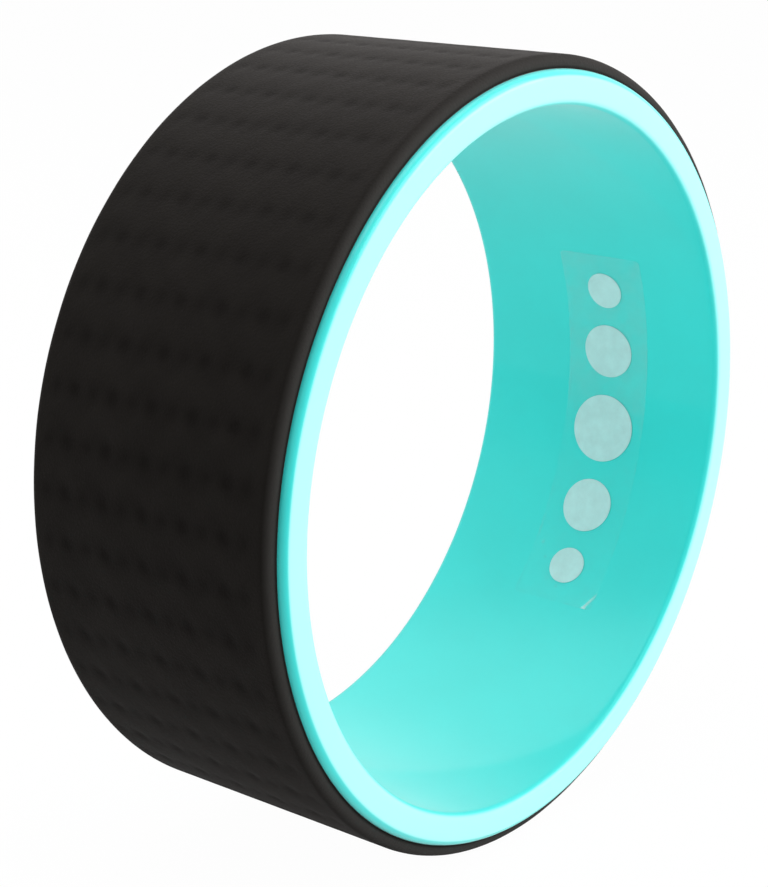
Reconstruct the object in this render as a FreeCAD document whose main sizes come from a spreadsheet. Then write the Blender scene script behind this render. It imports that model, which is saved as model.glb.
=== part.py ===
"""Yoga wheel: a moulded ring with rounded rims, a foam tread wrapped round it and a clear film label.

The wheel stands on its tread. The origin is the wheel's centre, the axle line is Y and +Z is up.
The near rim, which shows the ring's bore, faces -Y. Sizes are in millimetres and degrees.
"""
import FreeCAD
import Part
import Sketcher
import math
import os
from functools import partial

# Driving dimensions: name, value, meaning.
DIMENSIONS = [
    ("wheel_diameter", 330, "overall diameter, over the tread"),
    ("core_width", 127, "width of the ring, from rim to rim"),
    ("core_wall", 14, "radial thickness of the ring's wall"),
    ("rim_outer_round", 3.5, "rounding of the rim's outer edge"),
    ("rim_inner_round", 3, "rounding of the bore's edge, which two flats follow"),
    ("tread_thickness", 5.4, "thickness of the foam tread"),
    ("tread_margin", 3.5, "bare ring beside the tread, on each side"),
    ("tread_edge_round", 4, "rounding of the tread's outer edges, which two flats follow"),
    ("seam_gap", 0.4, "hairline between the two ends of the tread strip"),
    ("seam_angle", 11.5, "angle of that seam below the axle, on the +X side"),
    ("adhesive_thickness", 0.2, "bond between the ring and the tread"),
    ("film_length", 175, "length of the label film, along the bore's wall"),
    ("film_width", 43, "width of the label film, along the axle"),
    ("film_thickness", 0.12, "thickness of the label film"),
    ("film_bond", 0.15, "backing adhesive between the film and the bore's wall"),
    ("film_shift", -4.7, "place of the label's middle along the axle"),
    ("film_angle", 11.4, "angle of the label's middle below the axle, on the +X side"),
]

# Radii that the pieces share, from the tread's surface inwards.
TREAD_OUTER = "Sizes.wheel_diameter / 2"
TREAD_INNER = TREAD_OUTER + " - Sizes.tread_thickness"
CORE_OUTER = TREAD_INNER + " - Sizes.adhesive_thickness"
CORE_INNER = CORE_OUTER + " - Sizes.core_wall"
FILM_OUTER = CORE_INNER + " - Sizes.film_bond"
FILM_INNER = FILM_OUTER + " - Sizes.film_thickness"

# The tread and its bond cover the same band of the ring.
TREAD_WIDTH = "Sizes.core_width - 2 * Sizes.tread_margin"

# The turn that a length takes up on its radius. The tread strip and its bond start and end at the seam.
FULL_TURN = "360"
SEAM_TURN = f"180 / pi * Sizes.seam_gap / ({TREAD_INNER})"
STRIP_TURN = f"{FULL_TURN} - {SEAM_TURN}"
STRIP_START = f"Sizes.seam_angle + {SEAM_TURN} / 2"
FILM_TURN = f"180 / pi * Sizes.film_length / ({FILM_OUTER})"
FILM_START = f"Sizes.film_angle - {FILM_TURN} / 2"


def make_sheet(doc):
    """Put the driving dimensions in a spreadsheet, one row each, with the name as the cell's alias."""
    sheet = doc.addObject("Spreadsheet::Sheet", "Sizes")
    for row, (name, value, meaning) in enumerate(DIMENSIONS, start=1):
        sheet.set(f"A{row}", name)
        sheet.set(f"B{row}", str(value))
        sheet.setAlias(f"B{row}", name)
        sheet.set(f"C{row}", meaning)
    doc.recompute()
    return sheet


def origin_plane(body, role):
    """The body's own origin plane that has this role."""
    return next(item for item in body.Origin.OriginFeatures if item.Role == role)


def bind(sketch, name, expression, *constraint):
    """Add a constraint whose size follows an expression."""
    index = sketch.addConstraint(Sketcher.Constraint(*constraint))
    sketch.renameConstraint(index, name)
    sketch.setExpression(f"Constraints.{name}", expression)


def round_corner(sketch, name, expression, size, corner, before, after, into, out_of):
    """A quarter circle between two sides. into and out_of are the directions of the sides it joins."""
    centre = corner + (out_of - into) * size
    first = math.atan2(-out_of.y, -out_of.x)
    circle = Part.Circle(centre, FreeCAD.Vector(0, 0, 1), size)
    arc = sketch.addGeometry(Part.ArcOfCircle(circle, first, first + math.pi / 2), False)
    sketch.addConstraint(Sketcher.Constraint("Tangent", before, 2, arc, 1))
    sketch.addConstraint(Sketcher.Constraint("Tangent", arc, 2, after, 1))
    bind(sketch, name, expression, "Radius", arc, size)


def chord_corner(flats, sketch, name, expression, size, corner, before, after, into, out_of):
    """Flats that are chords of a quarter circle between two sides.

    into and out_of are the directions of the sides they join.
    """
    centre = corner + (out_of - into) * size
    previous = before
    for i in range(flats):
        start, end = 90 * i / flats, 90 * (i + 1) / flats
        points = [centre + (into * math.sin(a) - out_of * math.cos(a)) * size
                  for a in (math.radians(start), math.radians(end))]
        line = sketch.addGeometry(Part.LineSegment(*points), False)
        sketch.addConstraint(Sketcher.Constraint("Coincident", previous, 2, line, 1))
        run_in = f"({expression}) * (sin({end}) - sin({start}))"
        run_out = f"({expression}) * (cos({start}) - cos({end}))"
        run = points[1] - points[0]
        for axis, step, is_in in (("X", run.x, into.x), ("Y", run.y, into.y)):
            low, high = (1, 2) if step > 0 else (2, 1)
            bind(sketch, f"{name}_{i}_{axis}", run_in if is_in else run_out,
                 f"Distance{axis}", line, low, line, high, abs(step))
        previous = line
    sketch.addConstraint(Sketcher.Constraint("Coincident", previous, 2, after, 1))


CORNERS = {"round": round_corner, "eased": partial(chord_corner, 2)}


def ring_section(sketch, sheet, inner, outer, width, inner_edge=None, outer_edge=None):
    """Draw a ring's section: x is the radius, y the place along the axle, alike on both sides of y = 0.

    The sides are expressions. An edge is None where it is square, or its form and an expression for its size.
    """
    def value(expression):
        return float(sheet.evalExpression(expression))

    low, high = -value(width) / 2, value(width) / 2
    corners = [FreeCAD.Vector(value(inner), low, 0), FreeCAD.Vector(value(outer), low, 0),
               FreeCAD.Vector(value(outer), high, 0), FreeCAD.Vector(value(inner), high, 0)]
    along = [FreeCAD.Vector(1, 0, 0), FreeCAD.Vector(0, 1, 0), FreeCAD.Vector(-1, 0, 0), FreeCAD.Vector(0, -1, 0)]
    edges = [inner_edge, outer_edge, outer_edge, inner_edge]
    cut = [value(edge[1]) if edge else 0.0 for edge in edges]

    # The four sides, each cut short by the edges at its ends.
    sides = []
    for i in range(4):
        start = corners[i] + along[i] * cut[i]
        end = corners[(i + 1) % 4] - along[i] * cut[(i + 1) % 4]
        sides.append(sketch.addGeometry(Part.LineSegment(start, end), False))
        sketch.addConstraint(Sketcher.Constraint("Vertical" if i % 2 else "Horizontal", sides[i]))

    # The four edges.
    for i, edge in enumerate(edges):
        if edge is None:
            sketch.addConstraint(Sketcher.Constraint("Coincident", sides[i - 1], 2, sides[i], 1))
        else:
            form, expression = edge
            CORNERS[form](sketch, f"{form}_{i}", expression, cut[i], corners[i],
                          sides[i - 1], sides[i], along[i - 1], along[i])

    # The sizes, measured from the wheel's centre.
    low_side, outer_side, high_side, inner_side = sides
    half = f"({width}) / 2"
    bind(sketch, "inner_radius", inner, "DistanceX", -1, 1, inner_side, 1, value(inner))
    bind(sketch, "outer_radius", outer, "DistanceX", -1, 1, outer_side, 1, value(outer))
    bind(sketch, "low_side", half, "DistanceY", low_side, 1, -1, 1, value(half))
    bind(sketch, "high_side", half, "DistanceY", -1, 1, high_side, 1, value(half))


def turned_piece(doc, sheet, label, turn, start, shift="0", **section):
    """A body made by turning a section about the axle line.

    The turn goes from +X down, towards -Z. start is the angle below the axle where it begins, and shift moves
    the piece along the axle.
    """
    body = doc.addObject("PartDesign::Body", label)
    body.Label = label
    sketch = body.newObject("Sketcher::SketchObject", f"{label}_section")
    sketch.AttachmentSupport = [(origin_plane(body, "XY_Plane"), "")]
    sketch.MapMode = "FlatFace"
    ring_section(sketch, sheet, **section)
    revolution = body.newObject("PartDesign::Revolution", f"{label}_turn")
    revolution.Profile = sketch
    revolution.ReferenceAxis = (sketch, ["V_Axis"])
    revolution.setExpression("Angle", turn)
    sketch.Visibility = False

    body.Placement = FreeCAD.Placement(FreeCAD.Vector(0, 0, 0), FreeCAD.Rotation(FreeCAD.Vector(0, 1, 0), 0))
    body.setExpression("Placement.Rotation.Axis.y", "1")
    body.setExpression("Placement.Rotation.Angle", start)
    body.setExpression("Placement.Base.y", shift)
    return body


def make_core_ring(doc, sheet):
    """The moulded ring: a plain bore with eased edges, and rims that are rounded on the outside."""
    return turned_piece(doc, sheet, "core_ring", FULL_TURN, STRIP_START,
                        inner=CORE_INNER, outer=CORE_OUTER, width="Sizes.core_width",
                        inner_edge=("eased", "Sizes.rim_inner_round"), outer_edge=("round", "Sizes.rim_outer_round"))


def make_adhesive_layer(doc, sheet):
    """The film of adhesive on the back of the tread strip, which holds it on the ring."""
    return turned_piece(doc, sheet, "adhesive_layer", STRIP_TURN, STRIP_START,
                        inner=CORE_OUTER, outer=TREAD_INNER, width=TREAD_WIDTH)


def make_tread_pad(doc, sheet):
    """The foam tread: one strip wrapped round the ring, whose two square ends meet at a seam."""
    return turned_piece(doc, sheet, "tread_pad", STRIP_TURN, STRIP_START,
                        inner=TREAD_INNER, outer=TREAD_OUTER, width=TREAD_WIDTH,
                        outer_edge=("eased", "Sizes.tread_edge_round"))


def make_label_film(doc, sheet):
    """The clear label: a strip of film stuck to the bore's wall, with its length round the bore."""
    return turned_piece(doc, sheet, "label_film", FILM_TURN, FILM_START, "Sizes.film_shift",
                        inner=FILM_INNER, outer=FILM_OUTER, width="Sizes.film_width")


def check(doc, pieces):
    """Stop if any object of the document failed, or if a piece is not one valid solid."""
    for item in doc.Objects:
        if "Invalid" in item.State or "Error" in item.State:
            raise RuntimeError(f"{item.Label} failed: {item.State}")
    for piece in pieces:
        shape = piece.Shape
        if shape.isNull() or not shape.isValid() or len(shape.Solids) != 1:
            raise RuntimeError(f"{piece.Label} is not one valid solid")


def main():
    doc = FreeCAD.newDocument("yoga_wheel")
    sheet = make_sheet(doc)
    pieces = [make(doc, sheet) for make in (make_core_ring, make_adhesive_layer, make_tread_pad, make_label_film)]
    doc.recompute()
    check(doc, pieces)
    os.makedirs("parts", exist_ok=True)
    for piece in pieces:
        piece.Shape.exportStep(f"parts/{piece.Label}.step")
        box = piece.Shape.optimalBoundingBox()
        print(f"{piece.Label}: {piece.Shape.Volume:.0f} mm3, "
              f"{box.XLength:.2f} x {box.YLength:.2f} x {box.ZLength:.2f} mm")


main()
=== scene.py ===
import math

import bpy
import numpy as np
from bpy.props import FloatProperty, FloatVectorProperty, IntProperty, PointerProperty
from bpy.types import Operator, Panel, PropertyGroup
from mathutils import Matrix, Vector


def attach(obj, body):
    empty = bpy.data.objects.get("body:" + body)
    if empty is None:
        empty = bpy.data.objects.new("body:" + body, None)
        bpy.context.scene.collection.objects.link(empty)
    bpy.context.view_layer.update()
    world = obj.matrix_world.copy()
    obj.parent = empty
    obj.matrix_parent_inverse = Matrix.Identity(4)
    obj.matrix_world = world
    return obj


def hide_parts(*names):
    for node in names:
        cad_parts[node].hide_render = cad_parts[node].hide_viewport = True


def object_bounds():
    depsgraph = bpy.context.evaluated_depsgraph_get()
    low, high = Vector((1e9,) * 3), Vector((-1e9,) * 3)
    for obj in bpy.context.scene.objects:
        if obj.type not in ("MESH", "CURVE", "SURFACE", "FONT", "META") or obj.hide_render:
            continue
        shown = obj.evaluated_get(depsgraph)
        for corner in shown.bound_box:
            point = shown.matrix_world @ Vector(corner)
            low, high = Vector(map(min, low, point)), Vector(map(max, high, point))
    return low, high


bl_info = {
    "name": "Yoga Wheel",
    "version": (1, 0, 0),
    "blender": (4, 5, 0),
    "location": "3D View > Sidebar > Yoga Wheel",
    "description": "A moulded plastic ring with a bonded foam tread and a clear label, on a white sweep",
    "category": "Add Mesh",
}

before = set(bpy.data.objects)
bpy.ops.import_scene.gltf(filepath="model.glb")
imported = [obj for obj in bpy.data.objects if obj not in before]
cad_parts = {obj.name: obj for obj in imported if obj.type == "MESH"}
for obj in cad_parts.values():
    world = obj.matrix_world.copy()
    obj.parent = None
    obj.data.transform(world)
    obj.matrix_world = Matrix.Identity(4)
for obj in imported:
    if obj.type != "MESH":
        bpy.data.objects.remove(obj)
CAD_BOX = [list(corner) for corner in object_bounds()]

MM = 0.001
FULL_TURN = 2 * math.pi
SLACK = 1e-6  # allowance for rounding errors


# Sizes from the frame.

def polar_points(node):
    """Radius from the axle, angle below the +X side and place along the axle of a CAD node's vertices."""
    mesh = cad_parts[node].data
    flat = np.empty(3 * len(mesh.vertices))
    mesh.vertices.foreach_get("co", flat)
    x, y, z = flat.reshape(-1, 3).T
    return np.hypot(x, z), np.arctan2(-z, x), y


def span(values):
    """Least and greatest of an array, as plain numbers to a hundredth of a millimetre."""
    return round(float(values.min()), 5), round(float(values.max()), 5)


RING_RADII, RING_ENDS = (span(values) for values in polar_points("core_ring")[::2])
TREAD_RADII, TREAD_ENDS = (span(values) for values in polar_points("tread_pad")[::2])
FILM_RADII, FILM_TURN, FILM_ENDS = (span(values) for values in polar_points("label_film"))
FILM_HALF_LENGTH = (FILM_TURN[1] - FILM_TURN[0]) * FILM_RADII[0] / 2
FILM_HALF_WIDTH = (FILM_ENDS[1] - FILM_ENDS[0]) / 2
FILM_MIDDLE = (FILM_ENDS[0] + FILM_ENDS[1]) / 2
FILM_MIDDLE_TURN = sum(FILM_TURN) / 2
FLOOR_HEIGHT = CAD_BOX[0][2]


# Settings.

class RingSettings(PropertyGroup):
    """Moulded plastic ring."""
    outer_round: FloatProperty(
        name="Outer round", description="Radius of the outer edge of each rim",
        default=3.5 * MM, min=0.5 * MM, max=6 * MM, unit="LENGTH", precision=4)
    inner_round: FloatProperty(
        name="Inner round", description="Radius of the edge between each rim and the bore",
        default=3.0 * MM, min=0.2 * MM, max=5 * MM, unit="LENGTH", precision=4)
    around: IntProperty(
        name="Steps around", description="Points round the axle", default=400, min=64, max=800)
    wall_colour: FloatVectorProperty(
        name="Wall colour", description="Plastic of the bore",
        default=(0.012, 0.682, 0.645), size=3, min=0, max=1, subtype="COLOR")
    # Paler colour of the rim faces: a painted highlight.
    painted_rim_highlight: FloatVectorProperty(
        name="Rim colour", description="Paler, buffed plastic of the rim faces",
        default=(0.350, 0.905, 0.885), size=3, min=0, max=1, subtype="COLOR")


class TreadSettings(PropertyGroup):
    """Foam strip wrapped round the ring."""
    edge_round: FloatProperty(
        name="Edge round", description="Radius of the long edges of the strip",
        default=4.0 * MM, min=0.3 * MM, max=5 * MM, unit="LENGTH", precision=4)
    relief_depth: FloatProperty(
        name="Relief depth", description="Depth of the grip pattern's pits below its crests",
        default=0.55 * MM, min=0, max=2 * MM, unit="LENGTH", precision=4)
    pit_rows: IntProperty(
        name="Pit rows", description="Rows of pits round the wheel", default=52, min=8, max=120)
    wave_length: FloatProperty(
        name="Wave length", description="Distance between deep pits, along the axle",
        default=20 * MM, min=5 * MM, max=60 * MM, unit="LENGTH", precision=4)
    seam_angle: FloatProperty(
        name="Seam angle", description="Place of the butt seam, below the +X side of the axle",
        default=math.radians(11.5), subtype="ANGLE")
    seam_gap: FloatProperty(
        name="Seam gap", description="Clearance between the two ends of the strip",
        default=0.4 * MM, min=0.05 * MM, max=3 * MM, unit="LENGTH", precision=4)
    # The pits take the foam colour and the crests the crest colour: paler crests partly by wear, darker pits
    # as painted shade.
    foam_colour: FloatVectorProperty(
        name="Foam colour", description="Skin of the foam in the hollows",
        default=(0.0042, 0.0036, 0.0030), size=3, min=0, max=1, subtype="COLOR")
    crest_colour: FloatVectorProperty(
        name="Crest colour", description="Foam rubbed paler on the crests",
        default=(0.0104, 0.0093, 0.0081), size=3, min=0, max=1, subtype="COLOR")
    # Paler colour of the strip's cut sides: painted light on them.
    cut_side_painted_light: FloatVectorProperty(
        name="Cut colour", description="Open cells where the foam is cut",
        default=(0.0250, 0.0240, 0.0225), size=3, min=0, max=1, subtype="COLOR")


class LabelSettings(PropertyGroup):
    """Clear film with a plain printed row of dots."""
    corner_round: FloatProperty(
        name="Corner round", description="Radius of the film's corners",
        default=2.0 * MM, min=0.2 * MM, max=8 * MM, unit="LENGTH", precision=4)
    lift: FloatProperty(
        name="Edge lift", description="How far the loose edges of the film stand off the wall",
        default=0.07 * MM, min=0, max=1 * MM, unit="LENGTH", precision=5)
    film_colour: FloatVectorProperty(
        name="Film colour", description="Milky tint of the clear film",
        default=(0.50, 0.84, 0.81), size=3, min=0, max=1, subtype="COLOR")
    ink_colour: FloatVectorProperty(
        name="Ink colour", description="Pale grey print",
        default=(0.54, 0.755, 0.75), size=3, min=0, max=1, subtype="COLOR")
    largest_dot: FloatProperty(
        name="Largest dot", description="Diameter of the middle dot of the row",
        default=32 * MM, min=4 * MM, max=40 * MM, unit="LENGTH", precision=4)


class StageSettings(PropertyGroup):
    """Camera, lamps and floor."""
    azimuth: FloatProperty(
        name="Azimuth", description="Camera angle about the vertical, 0 looking along +Y",
        default=math.radians(-51.963), subtype="ANGLE")
    elevation: FloatProperty(
        name="Elevation", description="Camera angle above the horizon",
        default=math.radians(17.203), subtype="ANGLE")
    distance: FloatProperty(
        name="Distance", description="From the camera to the middle of the wheel, along the view",
        default=0.88674, min=0.2, unit="LENGTH", precision=4)
    aim_right: FloatProperty(
        name="Aim to the right", description="Place of the wheel's middle to the right of the view's middle",
        default=0.01346, unit="LENGTH", precision=4)
    aim_up: FloatProperty(
        name="Aim up", description="Place of the wheel's middle above the view's middle",
        default=0.00247, unit="LENGTH", precision=4)
    focal_length: FloatProperty(
        name="Focal length",
        description="On a 36 mm sensor laid along the picture's long side, in millimetres",
        default=84.69, min=10, max=300, unit="CAMERA")
    ambient: FloatProperty(
        name="Ambient", description="Strength of the room's own light", default=0.35, min=0, max=2)
    front_power: FloatProperty(
        name="Front lamp", description="Power of the large front softbox", default=55, min=0, unit="POWER")
    top_power: FloatProperty(
        name="Top lamp", description="Power of the softbox overhead", default=27, min=0, unit="POWER")
    fill_power: FloatProperty(
        name="Fill lamp", description="Power of the soft fill behind on the left",
        default=16, min=0, unit="POWER")


# Surfaces.

def around_axle(radius, angle, along):
    """Points at a radius from the axle, at an angle turned from +X down towards -Z and at a place along the
    axle: x is radius times cosine, z is minus radius times sine."""
    return np.stack(np.broadcast_arrays(radius * np.cos(angle), along, -radius * np.sin(angle)), axis=-1)


def grid_faces(rows, columns, rows_close=False, columns_close=False):
    """Four-sided faces of a grid numbered row by row; a closed direction joins its last line to its
    first."""
    row = np.arange(rows if rows_close else rows - 1)[:, None]
    column = np.arange(columns if columns_close else columns - 1)[None, :]
    next_row, next_column = (row + 1) % rows, (column + 1) % columns
    corners = (row * columns + column, next_row * columns + column,
               next_row * columns + next_column, row * columns + next_column)
    return np.stack(np.broadcast_arrays(*corners), axis=-1).reshape(-1, 4)


def rounded_outline(corners, rounds, steps):
    """A closed anticlockwise section, each corner an arc tangent to its two sides: from the arc's start, the
    point goes round the centre, which lies one radius to the left of the side that comes in, by the angle of
    the turn."""
    corners, rounds = np.asarray(corners, float), np.asarray(rounds, float)[:, None]
    come_in = corners - np.roll(corners, 1, axis=0)
    come_in /= np.linalg.norm(come_in, axis=1, keepdims=True)
    go_out = np.roll(come_in, -1, axis=0)
    turn = np.arccos(np.clip((come_in * go_out).sum(axis=1, keepdims=True), -1, 1))
    left = np.stack([-come_in[:, 1], come_in[:, 0]], axis=1)
    centre = corners - come_in * rounds * np.tan(turn / 2) + left * rounds
    angle = turn[:, :, None] * np.linspace(0, 1, steps + 1)[None, :, None]
    swing = come_in[:, None] * np.sin(angle) - left[:, None] * np.cos(angle)
    return (centre[:, None] + rounds[:, :, None] * swing).reshape(-1, 2)


def divided(outline, step):
    """The same closed outline with each side cut into equal parts no longer than the step."""
    side = np.roll(outline, -1, axis=0) - outline
    parts = np.maximum(1, np.ceil(np.linalg.norm(side, axis=1) / step - SLACK)).astype(int)
    which = np.repeat(np.arange(len(outline)), parts)
    first = np.repeat(np.cumsum(parts) - parts, parts)
    share = (np.arange(parts.sum()) - first) / parts[which]
    return outline[which] + side[which] * share[:, None]


def outward(outline):
    """Unit normals of a closed anticlockwise outline: the chord between each point's neighbours, turned to
    the right."""
    chord = np.roll(outline, -1, axis=0) - np.roll(outline, 1, axis=0)
    chord /= np.linalg.norm(chord, axis=1, keepdims=True)
    return np.stack([chord[:, 1], -chord[:, 0]], axis=1)


def ease(low, high, value):
    """Nought below low, one above high, and a smooth S between: three squares less two cubes."""
    share = np.clip((value - low) / (high - low), 0, 1)
    return share * share * (3 - 2 * share)


SHARP_ANGLE = math.radians(40)


def make_piece(name, points, faces, values=None):
    """A mesh object at the origin, smooth but for edges past the sharp angle, with point values by name."""
    mesh = bpy.data.meshes.new(name)
    mesh.from_pydata(points.reshape(-1, 3), [], faces)
    for label, amount in (values or {}).items():
        data = mesh.attributes.new(label, "FLOAT", "POINT").data
        data.foreach_set("value", np.ascontiguousarray(amount, dtype=np.float32).ravel())
    mesh.shade_smooth()
    mesh.set_sharp_from_angle(angle=SHARP_ANGLE)
    if mesh.validate():
        raise RuntimeError(f"{name}: the mesh had bad faces")
    piece = bpy.data.objects.new(name, mesh)
    bpy.context.scene.collection.objects.link(piece)
    return piece


def finish_piece(piece, material, slot, *nodes):
    """Gives a piece its material and ties it to the frame."""
    piece.data.materials.append(material)
    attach(piece, "root")
    if nodes:
        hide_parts(*nodes)


RING_ROUND_STEPS = 14
RING_GRID = 3 * MM  # longest step along the ring's section
BORE_ONSET = 0.60   # share of the normal along the axle at which the painted rim highlight sets in, on the bore's edge
OUTER_ONSET = 0.88  # and on the outer edge


def ring_surface(settings):
    """The ring: a rectangle with rounded corners in radius and place along the axle, carried round the axle.
    The rim value masks a painted highlight: it is how squarely a point faces along the axle, and it sets in
    sooner on the bore's edge."""
    inner, outer = RING_RADII
    near, far = RING_ENDS
    outline = rounded_outline(
        [(inner, near), (outer, near), (outer, far), (inner, far)],
        [settings.inner_round, settings.outer_round, settings.outer_round, settings.inner_round],
        RING_ROUND_STEPS)
    outline = divided(outline, RING_GRID)
    angle = np.arange(settings.around)[:, None] * FULL_TURN / settings.around
    points = around_axle(outline[None, :, 0], angle, outline[None, :, 1])
    normal = outward(outline)
    onset = np.where(normal[:, 0] < 0, BORE_ONSET, OUTER_ONSET)
    # rim: mask of the painted highlight on the rim faces
    rim = np.broadcast_to(ease(onset, 1.0, np.abs(normal[:, 1])), points.shape[:2])
    return points, grid_faces(*points.shape[:2], rows_close=True, columns_close=True), {"rim": rim}


RIB_SWAY = 0.74       # how far the rib between two rows of pits swings to and fro, as an angle of its wave
RIB_SHARE = 0.30      # height of that rib, against the depth of a deep pit
SHALLOW_SHARE = 0.55  # depth of the shallow pits, against that of the deep ones
PIT_FOCUS = 2.6       # how narrow the pits are


def grip_depth(around, along, row_pitch, wave_length):
    """How far the grip lies below its crests, from 0 to 1. Rows of pits cross the tread, deep and shallow by
    turns, each a bell made of the exponential of a cosine in both directions. Between two rows runs a low
    cosine rib, which sways with a sine along the axle."""
    across = FULL_TURN * around / row_pitch
    wave = FULL_TURN * along / wave_length
    in_row = np.exp(PIT_FOCUS * (-np.cos(across) - 1))
    deep = in_row * np.exp(PIT_FOCUS * (np.cos(wave) - 1))
    shallow = in_row * np.exp(PIT_FOCUS * (-np.cos(wave) - 1)) * SHALLOW_SHARE
    rib = RIB_SHARE * (1 - np.cos(across - RIB_SWAY * np.sin(wave))) / 2
    return rib + (1 - rib) * np.clip(deep + shallow, 0, 1)


TREAD_ROUND_STEPS = 8
TREAD_GRID = 1.5 * MM        # longest step along the strip's section
TREAD_ROWS = 700             # even lines of points round the axle
BONDED_ROUND = 0.2 * MM      # rounding of the strip's bonded edges
BONDED_SKIP = 14             # on the hidden bonded face, one point in so many is kept
BONDED_MARGIN = 1 * MM       # but for those so near the strip's long edges
GRIP_FADE = 7 * MM           # the grip dies out over this width beside the rounded edges
END_ROUND = 1.3 * MM         # rounding of the strip's two ends
END_STEPS = np.array([0, 0.15, 0.4, 0.8, 1.3]) * MM  # lines of points that follow that rounding
END_MARGIN = 2 * MM          # from the strip's ends to the first of the even lines
CUT_START = 0.4 * MM         # height above the bond where the strip's cut sides begin
CUT_WANDER = 0.05 * MM       # half of what a full wave draws those sides in
CUT_WAVES = np.array([7, 17, 41])       # how often each of their waves goes round the wheel
CUT_PHASES = np.array([1.3, 0.4, 2.1])  # where it starts
CUT_SHARES = np.array([1.0, 1.0, 0.7])  # its size, against a full wave


def tread_surface(settings):
    """The strip: a rectangle with rounded edges carried once round the axle, from one side of the seam to
    the other. Each point sinks along its normal by the depth of the grip and, at the two ends, by a quarter
    circle. The cut sides are drawn in by a sum of sines."""
    inner, outer = TREAD_RADII
    near, far = TREAD_ENDS
    outline = rounded_outline(
        [(inner, near), (outer, near), (outer, far), (inner, far)],
        [BONDED_ROUND, settings.edge_round, settings.edge_round, BONDED_ROUND], TREAD_ROUND_STEPS)
    outline = divided(outline, TREAD_GRID)
    bonded = (outline[:, 0] < inner + SLACK) & (np.abs(outline[:, 1]) < far - BONDED_MARGIN)
    outline = outline[~(bonded & (np.arange(len(outline)) % BONDED_SKIP != 0))]
    normal = outward(outline)

    half_gap = settings.seam_gap / 2 / outer
    first, last = settings.seam_angle + half_gap, settings.seam_angle + FULL_TURN - half_gap
    even = np.linspace(first + END_MARGIN / outer, last - END_MARGIN / outer, TREAD_ROWS)
    steps = END_STEPS / outer
    angle = np.concatenate([first + steps, even, last - steps[::-1]])[:, None]

    skin = np.clip(normal[None, :, 0], 0, 1)
    pressed = skin * ease(0, GRIP_FADE, far - settings.edge_round - np.abs(outline[None, :, 1]))
    row_pitch = FULL_TURN * outer / settings.pit_rows
    depth = grip_depth(outer * angle, outline[None, :, 1], row_pitch, settings.wave_length) * pressed
    from_end = np.minimum(angle - first, last - angle) * outer
    end_drop = END_ROUND - np.sqrt(END_ROUND ** 2 - np.clip(END_ROUND - from_end, 0, END_ROUND) ** 2)
    sink = settings.relief_depth * depth + skin * end_drop
    side = np.abs(normal[None, :, 1]) * (outline[None, :, 0] > inner + CUT_START)
    waves = CUT_SHARES * (np.sin(CUT_WAVES * angle + CUT_PHASES) - 1)
    wander = CUT_WANDER * waves.sum(axis=1, keepdims=True)
    radius = outline[None, :, 0] - sink * normal[None, :, 0]
    along = outline[None, :, 1] - sink * normal[None, :, 1] + wander * side * np.sign(outline[None, :, 1])

    points = around_axle(radius, angle, along)
    rows, columns = points.shape[:2]
    faces = grid_faces(rows, columns, columns_close=True).tolist()
    loop = np.arange(columns)
    faces += [loop.tolist(), (loop[::-1] + (rows - 1) * columns).tolist()]
    # The cut value marks the strip's sides, which the foam paints paler as painted light.
    return points, faces, {"pit": depth, "cut": np.broadcast_to(side, depth.shape)}


# Blisters under the film, in millimetres: place along its length and across its width, from its
# middle, then radius and height.
BLISTERS = np.array([
    (-79, 12, 3.2, 0.05), (-64, -15, 2.2, 0.04), (-30, -18, 2.6, 0.04), (18, 17, 1.9, 0.03),
    (47, -17, 2.8, 0.05), (60, 17, 3.0, 0.10), (67, 13, 2.2, 0.10), (74, 18, 2.6, 0.07),
    (77, 8, 3.4, 0.09), (80, 1, 2.4, 0.10),
]) * MM

CREASE_HEIGHT = 0.15 * MM
CREASE_WIDTH = 1.3 * MM
CREASE_START = 9 * MM  # from the film's lower corner, up its near border
CREASE_SLOPE = 2.2     # length that the crease runs for each unit of width
CREASE_FADE = 15 * MM  # from the film's lower end to where the crease has died out
CREASE_FULL = 0.8      # share of that way, from its upper end, at which the crease has its full height
CURL_WIDTH = 3.5 * MM  # border that curls up
LONG_WAVE = 7 * MM     # length for each radian of the curl's long wave
SHORT_WAVE = 3.1 * MM  # and of its short one, which runs slantwise
SHORT_SLANT = 2.4      # weight of the width in it, against the length
LONG_PHASE = 0.6
CURL_SHARES = 0.55, 0.25, 0.2  # of the even curl, the long wave and the short one


def to_border(length, width):
    """Distance from a place on the film to its nearest side, with the corners taken as square."""
    return np.minimum(FILM_HALF_LENGTH - np.abs(length), FILM_HALF_WIDTH - np.abs(width))


def film_height(length, width, settings):
    """How far the film stands off its bonded place: a sum of bell-shaped blisters, a crease that runs
    slantwise over one lower corner and dies out upwards, and edges that curl up by the square of their
    nearness to the border, in two waves."""
    place, over, radius, rise = BLISTERS.T.reshape(4, -1, *(1,) * np.ndim(length))
    blisters = (rise * np.exp(-((length - place) ** 2 + (width - over) ** 2) / radius ** 2)).sum(axis=0)
    from_end = FILM_HALF_LENGTH - length
    off_crease = CREASE_START - from_end - CREASE_SLOPE * (width + FILM_HALF_WIDTH)
    bell = np.exp(-(off_crease / math.hypot(1, CREASE_SLOPE) / CREASE_WIDTH) ** 2)
    crease = CREASE_HEIGHT * bell * ease(0, CREASE_FULL, 1 - from_end / CREASE_FADE)
    long_wave = np.sin(length / LONG_WAVE + LONG_PHASE)
    short_wave = np.sin((length + SHORT_SLANT * width) / SHORT_WAVE)
    even, long_share, short_share = CURL_SHARES
    waves = even + long_share * long_wave + short_share * short_wave
    near_border = np.clip(1 - to_border(length, width) / CURL_WIDTH, 0, 1)
    return blisters + crease + settings.lift * waves * near_border ** 2


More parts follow.
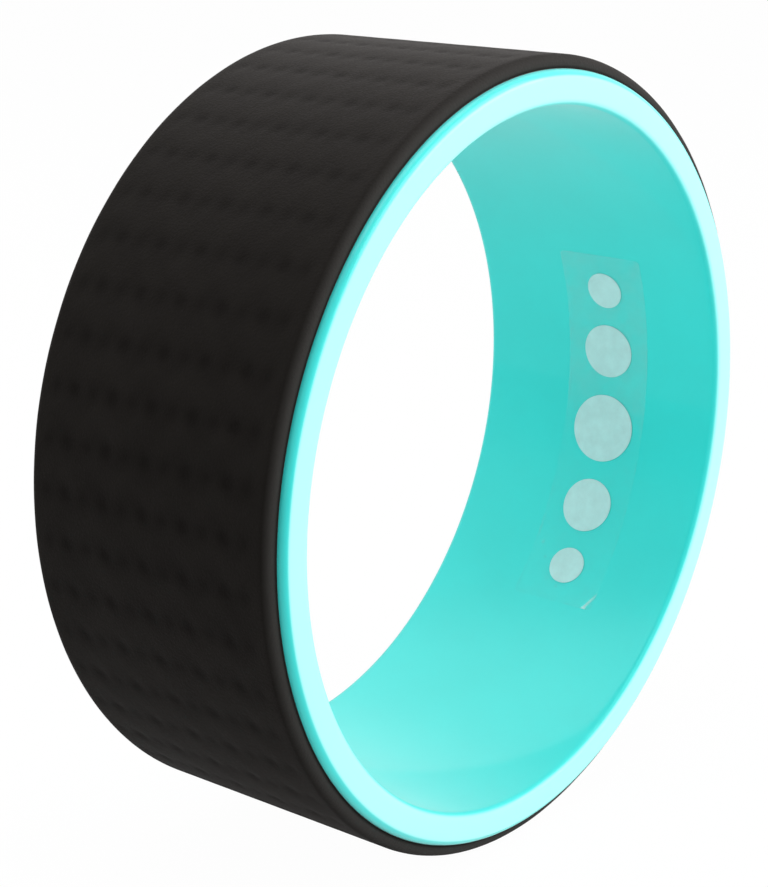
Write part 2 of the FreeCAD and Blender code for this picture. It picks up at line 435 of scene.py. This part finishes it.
FILM_ROWS, FILM_COLUMNS = 221, 57
BORDER_WIDTH = 1.2 * MM  # cut border that has gone milky
LOOSE_HEIGHT = 0.2 * MM  # height at which the film counts as wholly loose
MILKY_TO = -25 * MM      # the film is milky from its upper end to here
CLEAR_FROM = 15 * MM     # and clearest from here on
CLEAR_MILK = 0.2         # share of the milkiness that is left there


def film_surface(settings):
    """The film: a thin flat section carried along its length, narrowed to a quarter circle at its corners
    and bent to the bore, both its faces raised by the film's height."""
    length = np.linspace(-FILM_HALF_LENGTH, FILM_HALF_LENGTH, FILM_ROWS)[:, None]
    corner = settings.corner_round
    into_corner = np.clip(np.abs(length) - FILM_HALF_LENGTH + corner, 0, corner)
    half = FILM_HALF_WIDTH - corner + np.sqrt(corner ** 2 - into_corner ** 2)
    share = np.linspace(-1, 1, FILM_COLUMNS)
    width = half * np.concatenate([share, share[::-1]])[None, :]
    thickness = (FILM_RADII[1] - FILM_RADII[0]) * np.repeat([0.0, 1.0], len(share))[None, :]
    lift = film_height(length, width, settings)
    angle = FILM_MIDDLE_TURN + length / FILM_RADII[0]
    points = around_axle(FILM_RADII[1] - thickness - lift, angle, FILM_MIDDLE + width)
    rows, columns = points.shape[:2]
    faces = grid_faces(rows, columns, columns_close=True)[:, ::-1].tolist()
    pairs = np.arange(len(share) - 1)
    cap = np.stack([pairs, pairs + 1, columns - 2 - pairs, columns - 1 - pairs], axis=1)
    faces += cap.tolist() + (cap[:, ::-1] + (rows - 1) * columns).tolist()
    border = 1 - np.clip(to_border(length, width) / BORDER_WIDTH, 0, 1)
    milk = np.broadcast_to(1 - (1 - CLEAR_MILK) * ease(MILKY_TO, CLEAR_FROM, length), lift.shape)
    return points, faces, {"border": border, "loose": np.clip(lift / LOOSE_HEIGHT, 0, 1), "milk": milk}


DOT_SIZES = np.array([0.56, 0.80, 1.0, 0.80, 0.56])  # shares of the largest dot
DOT_GAP = 9 * MM  # between the edges of two dots
DOT_RINGS, DOT_SPOKES = 14, 72
INK_THICKNESS = 0.03 * MM


def dots_surface(settings):
    """The print: a row of five discs, each a grid of distance from its middle by angle, from the middle of
    its top out to the edge and back to the middle of its underside, laid on the film and bent to the bore
    with it."""
    rings, spokes = DOT_RINGS, DOT_SPOKES
    radius = DOT_SIZES * settings.largest_dot / 2
    place = np.cumsum(2 * radius + DOT_GAP) - radius
    place -= place.mean()
    share = np.linspace(1 / rings, 1, rings)
    share = np.concatenate([share, share[::-1]])
    above = np.repeat([INK_THICKNESS, 0.0], rings)
    spoke = np.arange(spokes) * FULL_TURN / spokes
    across = radius[:, None, None] * share[None, :, None]
    length = place[:, None, None] + across * np.cos(spoke)
    width = across * np.sin(spoke)
    poles = np.stack([place, place])
    lift = film_height(length, width, settings)
    pole_lift = film_height(poles, np.zeros_like(poles), settings)
    skin, turn = FILM_RADII[0], FILM_MIDDLE_TURN
    body = around_axle(skin - lift - above[None, :, None], turn + length / skin, FILM_MIDDLE + width)
    pole_above = np.array([[INK_THICKNESS], [0.0]])
    tips = around_axle(skin - pole_lift - pole_above, turn + poles / skin, FILM_MIDDLE)
    count, lines = len(radius), 2 * rings
    points = np.concatenate([body.reshape(-1, 3), tips.reshape(-1, 3)])
    step = lines * spokes
    grid = grid_faces(lines, spokes, columns_close=True)
    faces = (grid[None] + step * np.arange(count)[:, None, None]).reshape(-1, 4).tolist()
    here, after = np.arange(spokes), (np.arange(spokes) + 1) % spokes
    for dot in range(count):
        top, bottom = count * step + dot, count * step + count + dot
        start, end = dot * step, dot * step + step - spokes
        faces += np.stack([np.full(spokes, top), start + here, start + after], axis=1).tolist()
        faces += np.stack([np.full(spokes, bottom), end + after, end + here], axis=1).tolist()
    return points, faces


# Materials.

# A Mix node's colour sockets, which stand after those for numbers and vectors.
COLOUR_INPUTS, COLOUR_OUTPUT = (6, 7), 2

WHITE = (1, 1, 1, 1)
USUAL_NOISE = (0.3, 0.7)  # range that holds most values of a noise


class Finish:
    """A material in the making: a Principled shader and short ways to feed it."""

    def __init__(self, name):
        self.material = bpy.data.materials.new(name)
        self.material.use_nodes = True
        self.tree = self.material.node_tree
        self.shader = self.tree.nodes["Principled BSDF"]
        self.surface = self.tree.nodes["Material Output"].inputs["Surface"]
        self.place = self.node("ShaderNodeTexCoord").outputs["Object"]

    def node(self, kind, **options):
        """A new node with some of its options set."""
        made = self.tree.nodes.new(kind)
        for key, value in options.items():
            setattr(made, key, value)
        return made

    def feed(self, socket, source):
        """Links a socket to another one, or sets it to a plain value."""
        if isinstance(source, bpy.types.NodeSocket):
            self.tree.links.new(source, socket)
        else:
            socket.default_value = source

    def noise(self, scale, detail=2.0, roughness=0.5, place=None):
        """Soft random clouds, from 0 to 1."""
        made = self.node("ShaderNodeTexNoise")
        self.feed(made.inputs["Vector"], place or self.place)
        made.inputs["Scale"].default_value = scale
        made.inputs["Detail"].default_value = detail
        made.inputs["Roughness"].default_value = roughness
        return made.outputs["Fac"]

    def cells(self, scale):
        """Distance to the nearest of many scattered points."""
        made = self.node("ShaderNodeTexVoronoi")
        self.feed(made.inputs["Vector"], self.place)
        made.inputs["Scale"].default_value = scale
        return made.outputs["Distance"]

    def squeezed(self, scale):
        """The place on the piece times a number for each axis, which squeezes a pattern along that axis."""
        made = self.node("ShaderNodeMapping")
        self.feed(made.inputs["Vector"], self.place)
        made.inputs["Scale"].default_value = scale
        return made.outputs["Vector"]

    def value(self, name):
        """One of the mesh's point values."""
        return self.node("ShaderNodeAttribute", attribute_name=name).outputs["Fac"]

    def maths(self, operation, first, second):
        """Two values put together by an operation."""
        made = self.node("ShaderNodeMath", operation=operation)
        self.feed(made.inputs[0], first)
        self.feed(made.inputs[1], second)
        return made.outputs["Value"]

    def between(self, source, given, wanted):
        """A value carried evenly from one range to another, and held at its ends."""
        made = self.node("ShaderNodeMapRange", clamp=True)
        self.feed(made.inputs["Value"], source)
        for key, number in zip(("From Min", "From Max", "To Min", "To Max"), (*given, *wanted)):
            made.inputs[key].default_value = number
        return made.outputs["Result"]

    def mix(self, share, first, second):
        """A colour between two, by a share of the second."""
        made = self.node("ShaderNodeMix", data_type="RGBA")
        self.feed(made.inputs[0], share)
        for place, colour in zip(COLOUR_INPUTS, (first, second)):
            self.feed(made.inputs[place], colour)
        return made.outputs[COLOUR_OUTPUT]

    def bump(self, height, strength, distance, normal=None):
        """A normal that leans with the slope of a height, on top of another normal where one is given."""
        made = self.node("ShaderNodeBump")
        self.feed(made.inputs["Height"], height)
        made.inputs["Strength"].default_value = strength
        made.inputs["Distance"].default_value = distance
        if normal:
            self.feed(made.inputs["Normal"], normal)
        return made.outputs["Normal"]

    def set(self, **sources):
        """Feeds the shader's sockets, each by its name in small letters and underscores."""
        for key, source in sources.items():
            self.feed(self.shader.inputs[key.replace("_", " ").title().replace("Ior", "IOR")], source)


def rgba(colour, factor=1.0):
    """A colour times a factor, with full opacity."""
    return (*(factor * part for part in colour), 1.0)


def ring_plastic(settings):
    """Glossy moulded plastic: a faint cloudiness in the colour, rims painted paler as a painted highlight,
    fine rub marks in the gloss and the slight ripple of a moulded skin."""
    plastic = Finish("turquoise_plastic")
    cloud = plastic.between(plastic.noise(scale=9.0, detail=3.0), USUAL_NOISE, (0, 1))
    wall = plastic.mix(cloud, rgba(settings.wall_colour, 0.95), rgba(settings.wall_colour, 1.05))
    marks = plastic.noise(scale=40.0, detail=4.0, roughness=0.6, place=plastic.squeezed((1.0, 22.0, 1.0)))
    ripple = plastic.bump(plastic.noise(scale=180.0, detail=1.0), strength=0.05, distance=0.4 * MM)
    grain = plastic.noise(scale=2400.0)
    # The rim faces take the paler colour: a painted highlight.
    plastic.set(base_color=plastic.mix(plastic.value("rim"), wall, rgba(settings.painted_rim_highlight)))
    plastic.set(roughness=0.5, ior=1.5, specular_ior_level=0.40, sheen_weight=0.38, sheen_roughness=0.5)
    plastic.set(coat_weight=0.42, coat_ior=1.5)
    plastic.set(coat_roughness=plastic.between(marks, (0.35, 0.75), (0.07, 0.12)))
    plastic.set(normal=plastic.bump(grain, strength=0.03, distance=0.1 * MM, normal=ripple))
    return plastic.material


WARM_GLOSS = (1.0, 0.91, 0.88, 1)


def tread_foam(settings):
    """Closed-cell foam: dark skin, paler on the crests by wear and darker in the pits as painted shade,
    painted light on the cut sides, and a fine pebbled grain.
    """
    foam = Finish("black_foam")
    grain = foam.noise(scale=1500.0, detail=3.0, roughness=0.6)
    pebble = foam.bump(foam.cells(scale=900.0), strength=0.25, distance=0.3 * MM)
    # Paler crests and darker pits: partly rubbed wear, partly painted shade in the pits.
    crest = foam.between(foam.value("pit"), (0.05, 0.75), (1.0, 0.0))
    rubbed = foam.between(foam.noise(scale=60.0, detail=4.0), USUAL_NOISE, (0.45, 0.85))
    rubbed_and_pit_shade = foam.maths("MULTIPLY", crest, rubbed)
    speckle = foam.between(grain, (0.35, 0.7), (0.0, 0.3))
    # Painted light: the strip's cut sides take the paler cut colour.
    cut = foam.between(foam.value("cut"), (0.3, 0.95), (0.0, 1.0))
    colour = foam.mix(rubbed_and_pit_shade, rgba(settings.foam_colour), rgba(settings.crest_colour))
    colour = foam.mix(speckle, colour, rgba(settings.crest_colour, 0.6))
    foam.set(base_color=foam.mix(cut, colour, rgba(settings.cut_side_painted_light)))
    foam.set(roughness=foam.between(grain, USUAL_NOISE, (0.62, 0.80)), specular_ior_level=0.075)
    foam.set(sheen_weight=0.032, sheen_roughness=0.5, sheen_tint=WARM_GLOSS, specular_tint=WARM_GLOSS)
    foam.set(normal=foam.bump(grain, strength=0.30, distance=0.3 * MM, normal=pebble))
    return foam.material


ADHESIVE_DARK = (0.020, 0.016, 0.012, 1)
ADHESIVE_PALE = (0.050, 0.040, 0.030, 1)


def contact_adhesive():
    """Cured contact adhesive: brown-grey, blotchy and half glossy."""
    adhesive = Finish("cured_adhesive")
    blotch = adhesive.noise(scale=220.0, detail=3.0)
    adhesive.set(base_color=adhesive.mix(blotch, ADHESIVE_DARK, ADHESIVE_PALE))
    adhesive.set(roughness=adhesive.between(blotch, USUAL_NOISE, (0.35, 0.6)))
    adhesive.set(normal=adhesive.bump(blotch, strength=0.3, distance=0.2 * MM))
    return adhesive.material


LOOSE_COLOUR = (0.90, 0.96, 0.95, 1)
LOOSE_RANGE = (0.40, 0.9)  # looseness from which the film whitens, and at which it is whitest


def clear_film(settings):
    """Clear film gone a little milky: more so at its upper end, where it has come loose and along its cut
    border."""
    film = Finish("clear_label_film")
    haze = film.noise(scale=95.0, detail=4.0, roughness=0.65)
    loose = film.value("loose")
    frayed = film.between(film.noise(scale=60.0), (0.5, 0.75), (0, 0.10))
    veil = film.maths("MULTIPLY", film.between(haze, (0.35, 0.75), (0.05, 0.13)), film.value("milk"))
    veil = film.maths("ADD", veil, film.between(loose, LOOSE_RANGE, (0.0, 0.40)))
    veil = film.maths("ADD", veil, film.maths("MULTIPLY", film.value("border"), frayed))
    tint = film.mix(haze, rgba(settings.film_colour, 0.95), rgba(settings.film_colour))
    film.set(base_color=film.mix(film.between(loose, LOOSE_RANGE, (0, 1)), tint, LOOSE_COLOUR), alpha=veil)
    film.set(roughness=film.between(haze, USUAL_NOISE, (0.10, 0.24)), ior=1.46)
    film.set(normal=film.bump(haze, strength=0.08, distance=0.3 * MM))
    return film.material


def pale_ink(settings):
    """Screen-printed ink: pale grey, a little patchy, with pin-holes."""
    ink = Finish("pale_grey_ink")
    patch = ink.noise(scale=160.0, detail=4.0, roughness=0.6)
    pins = ink.between(ink.cells(scale=1100.0), (0.06, 0.16), (0.75, 1.0))
    shade = ink.between(patch, USUAL_NOISE, (0, 1))
    colour = ink.mix(shade, rgba(settings.ink_colour, 0.92), rgba(settings.ink_colour, 1.04))
    ink.set(base_color=ink.mix(pins, rgba(settings.ink_colour, 0.8), colour))
    ink.set(roughness=ink.between(patch, USUAL_NOISE, (0.28, 0.42)))
    ink.set(normal=ink.bump(patch, strength=0.08, distance=0.2 * MM))
    return ink.material


FLOOR_SHADES = (0.86, 0.86, 0.86, 1), (0.89, 0.89, 0.89, 1)
FLOOR_IN_GLOSS = 0.42  # strength that the floor shows in gloss, where 1 is white
FLOOR_PLAIN = 0.98     # share of that plain light; the rest is the lit floor, which keeps the shadow


def white_sweep():
    """White floor: plain white to the camera, grey in gloss, and a share of the lit floor with its shadow.
    Both are blended by the kind of ray that looks at it."""
    sweep = Finish("white_sweep")
    sweep.set(base_color=sweep.mix(sweep.noise(scale=3.0), *FLOOR_SHADES), roughness=0.7)
    path = sweep.node("ShaderNodeLightPath").outputs
    plain = sweep.maths("MAXIMUM", path["Is Camera Ray"], path["Is Transmission Ray"])
    shown = sweep.maths("MAXIMUM", plain, path["Is Glossy Ray"])
    glow = sweep.node("ShaderNodeEmission")
    sweep.feed(glow.inputs["Strength"], sweep.between(plain, (0, 1), (FLOOR_IN_GLOSS, 1.0)))
    blend = sweep.node("ShaderNodeMixShader")
    sweep.feed(blend.inputs[0], sweep.maths("MULTIPLY", shown, FLOOR_PLAIN))
    sweep.feed(blend.inputs[1], sweep.shader.outputs[0])
    sweep.feed(blend.inputs[2], glow.outputs[0])
    sweep.feed(sweep.surface, blend.outputs[0])
    return sweep.material


# Stage.

def light_room(strength):
    """A room that is white to the camera, in gloss and through clear pieces, and dimmer as a source of
    light."""
    world = bpy.data.worlds.new("white_room")
    world.use_nodes = True
    tree = world.node_tree
    dim = tree.nodes["Background"]
    dim.inputs["Color"].default_value = WHITE
    dim.inputs["Strength"].default_value = strength
    white = tree.nodes.new("ShaderNodeBackground")
    white.inputs["Color"].default_value = WHITE
    path = tree.nodes.new("ShaderNodeLightPath").outputs
    last = path["Is Camera Ray"]
    for ray in ("Is Glossy Ray", "Is Transmission Ray"):
        either = tree.nodes.new("ShaderNodeMath")
        either.operation = "MAXIMUM"
        tree.links.new(last, either.inputs[0])
        tree.links.new(path[ray], either.inputs[1])
        last = either.outputs[0]
    blend = tree.nodes.new("ShaderNodeMixShader")
    tree.links.new(last, blend.inputs[0])
    tree.links.new(dim.outputs[0], blend.inputs[1])
    tree.links.new(white.outputs[0], blend.inputs[2])
    tree.links.new(blend.outputs[0], tree.nodes["World Output"].inputs["Surface"])
    bpy.context.scene.world = world


REFLECTOR_DISTANCE = 0.85         # metres from the wheel's middle
REFLECTOR_TURN = 10, 190          # degrees from +X, round the back
REFLECTOR_TOP = 85                # degrees above the horizon
REFLECTOR_GRID = 61, 90           # points by turn and by height
BEHIND_FROM, BEHIND_TO = 60, 110  # turns between which the right of the dome blends into its back
GLOW_HEIGHTS = (-12, 8, 16, 34, 46, 52, 58)               # degrees above the horizon
GLOW_BEHIND = (0.03, 0.03, 0.35, 0.60, 0.80, 1.30, 2.20)  # radiance at those heights, behind the wheel
GLOW_RIGHT = (0.75, 1.05, 1.15, 1.40, 1.70, 2.10, 2.40)   # and to its right


def reflector_surface():
    """A dome standing on the floor behind the wheel: points at a distance, by turn from the right round the
    back to the left, by height above the horizon. Its glow is read from two tables by height and blends from
    one to the other with the turn."""
    columns, rows = REFLECTOR_GRID
    turn = np.radians(np.linspace(*REFLECTOR_TURN, columns))[:, None]
    foot = math.asin(FLOOR_HEIGHT / REFLECTOR_DISTANCE)
    height = np.linspace(foot, math.radians(REFLECTOR_TOP), rows)[None, :]
    points = REFLECTOR_DISTANCE * np.stack(np.broadcast_arrays(
        np.cos(turn) * np.cos(height), np.sin(turn) * np.cos(height), np.sin(height)), axis=-1)
    behind = ease(BEHIND_FROM, BEHIND_TO, np.degrees(turn))
    right = np.interp(np.degrees(height), GLOW_HEIGHTS, GLOW_RIGHT)
    glow = right + behind * (np.interp(np.degrees(height), GLOW_HEIGHTS, GLOW_BEHIND) - right)
    return points, grid_faces(*points.shape[:2]), {"glow": glow}


def graded_glow():
    """A diffuser lit unevenly from behind: dark low at the back, bright high up and on the right."""
    diffuser = Finish("graded_diffuser")
    lamp = diffuser.node("ShaderNodeEmission")
    diffuser.feed(lamp.inputs["Strength"], diffuser.value("glow"))
    diffuser.feed(diffuser.surface, lamp.outputs[0])
    return diffuser.material


def add_softbox(name, power, place, width, height):
    """A rectangular lamp at a place, facing the middle of the wheel."""
    lamp = bpy.data.lights.new(name, "AREA")
    lamp.shape, lamp.size, lamp.size_y, lamp.energy = "RECTANGLE", width, height, power
    box = bpy.data.objects.new(name, lamp)
    box.location = place
    box.rotation_euler = (-Vector(place)).to_track_quat("-Z", "Y").to_euler()
    bpy.context.scene.collection.objects.link(box)
    return box


SENSOR_WIDTH = 36  # millimetres


def place_camera(settings):
    """Backs the camera off along the view from the wheel's middle, then slides it so that the middle falls
    to the right of and above the picture's middle by the aim."""
    right = Vector((math.cos(settings.azimuth), math.sin(settings.azimuth), 0))
    level = Vector((math.sin(settings.azimuth), -math.cos(settings.azimuth), 0))
    back = level * math.cos(settings.elevation) + Vector((0, 0, math.sin(settings.elevation)))
    up = back.cross(right)
    data = bpy.data.cameras.new("camera")
    data.sensor_width, data.lens = SENSOR_WIDTH, settings.focal_length
    camera = bpy.data.objects.new("camera", data)
    turn = Matrix((right, up, back)).transposed().to_4x4()
    place = back * settings.distance - right * settings.aim_right - up * settings.aim_up
    camera.matrix_world = Matrix.Translation(place) @ turn
    bpy.context.scene.collection.objects.link(camera)
    bpy.context.scene.camera = camera


# Operators.

class YOGA_OT_ring(Operator):
    """Build the plastic ring"""
    bl_idname = "yoga_wheel.ring"
    bl_label = "Plastic Ring"

    def execute(self, context):
        settings = context.scene.yoga_ring
        piece = make_piece("ring", *ring_surface(settings))
        finish_piece(piece, ring_plastic(settings), "ring_plastic", "core_ring")
        return {"FINISHED"}


class YOGA_OT_adhesive(Operator):
    """Finish the adhesive layer under the tread"""
    bl_idname = "yoga_wheel.adhesive"
    bl_label = "Adhesive Layer"

    def execute(self, context):
        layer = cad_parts["adhesive_layer"]
        layer.data.materials.clear()
        layer.data.materials.append(contact_adhesive())
        return {"FINISHED"}


class YOGA_OT_tread(Operator):
    """Build the foam tread with its grip pattern"""
    bl_idname = "yoga_wheel.tread"
    bl_label = "Foam Tread"

    def execute(self, context):
        settings = context.scene.yoga_tread
        piece = make_piece("tread", *tread_surface(settings))
        finish_piece(piece, tread_foam(settings), "tread_foam", "tread_pad")
        return {"FINISHED"}


class YOGA_OT_label(Operator):
    """Build the clear film and its printed dots"""
    bl_idname = "yoga_wheel.label"
    bl_label = "Label"

    def execute(self, context):
        settings = context.scene.yoga_label
        film = make_piece("film", *film_surface(settings))
        finish_piece(film, clear_film(settings), "clear_film", "label_film")
        dots = make_piece("printed_dots", *dots_surface(settings))
        finish_piece(dots, pale_ink(settings), "clear_film")
        return {"FINISHED"}


FLOOR_HALF = 6.0  # metres, from the middle to each side


class YOGA_OT_stage(Operator):
    """Set up the floor, the lamps and the camera"""
    bl_idname = "yoga_wheel.stage"
    bl_label = "Stage"

    def execute(self, context):
        settings = context.scene.yoga_stage
        corners = FLOOR_HALF * np.array([(-1, -1), (1, -1), (1, 1), (-1, 1)])
        floor = make_piece("floor", np.column_stack([corners, np.full(4, FLOOR_HEIGHT)]), [[0, 1, 2, 3]])
        floor.data.materials.append(white_sweep())
        light_room(settings.ambient)
        reflector = make_piece("reflector", *reflector_surface())
        reflector.data.materials.append(graded_glow())
        reflector.visible_camera = reflector.visible_diffuse = reflector.visible_shadow = False
        add_softbox("front_softbox", settings.front_power, place=(0.9, -1.8, 0.95), width=2.4, height=1.7)
        add_softbox("top_softbox", settings.top_power, place=(0.0, 0.2, 2.2), width=2.2, height=2.2)
        fill = add_softbox(
            "fill_softbox", settings.fill_power, place=(-1.2, 1.5, 0.5), width=1.2, height=1.2)
        fill.visible_glossy = False
        place_camera(settings)
        context.scene.view_settings.view_transform = "Standard"
        return {"FINISHED"}


class YOGA_PT_wheel(Panel):
    """Sidebar list of the wheel's pieces"""
    bl_idname = "YOGA_PT_wheel"
    bl_label = "Yoga Wheel"
    bl_space_type = "VIEW_3D"
    bl_region_type = "UI"
    bl_category = "Yoga Wheel"

    def draw(self, context):
        for operator in OPERATORS:
            self.layout.operator(operator.bl_idname)


OPERATORS = (YOGA_OT_ring, YOGA_OT_adhesive, YOGA_OT_tread, YOGA_OT_label, YOGA_OT_stage)
SETTINGS = {"yoga_ring": RingSettings, "yoga_tread": TreadSettings, "yoga_label": LabelSettings,
            "yoga_stage": StageSettings}


def register():
    """Makes the settings, the operators and the panel known to Blender."""
    for made in (*SETTINGS.values(), *OPERATORS, YOGA_PT_wheel):
        bpy.utils.register_class(made)
    for name, group in SETTINGS.items():
        setattr(bpy.types.Scene, name, PointerProperty(type=group))


def unregister():
    """Takes them away again, last first."""
    for name in SETTINGS:
        delattr(bpy.types.Scene, name)
    for made in (YOGA_PT_wheel, *reversed(OPERATORS), *reversed(tuple(SETTINGS.values()))):
        bpy.utils.unregister_class(made)


def main():
    """Builds the pieces and the stage."""
    register()
    bpy.ops.yoga_wheel.ring()
    bpy.ops.yoga_wheel.adhesive()
    bpy.ops.yoga_wheel.tread()
    bpy.ops.yoga_wheel.label()
    bpy.ops.yoga_wheel.stage()


if __name__ == "__main__":
    main()
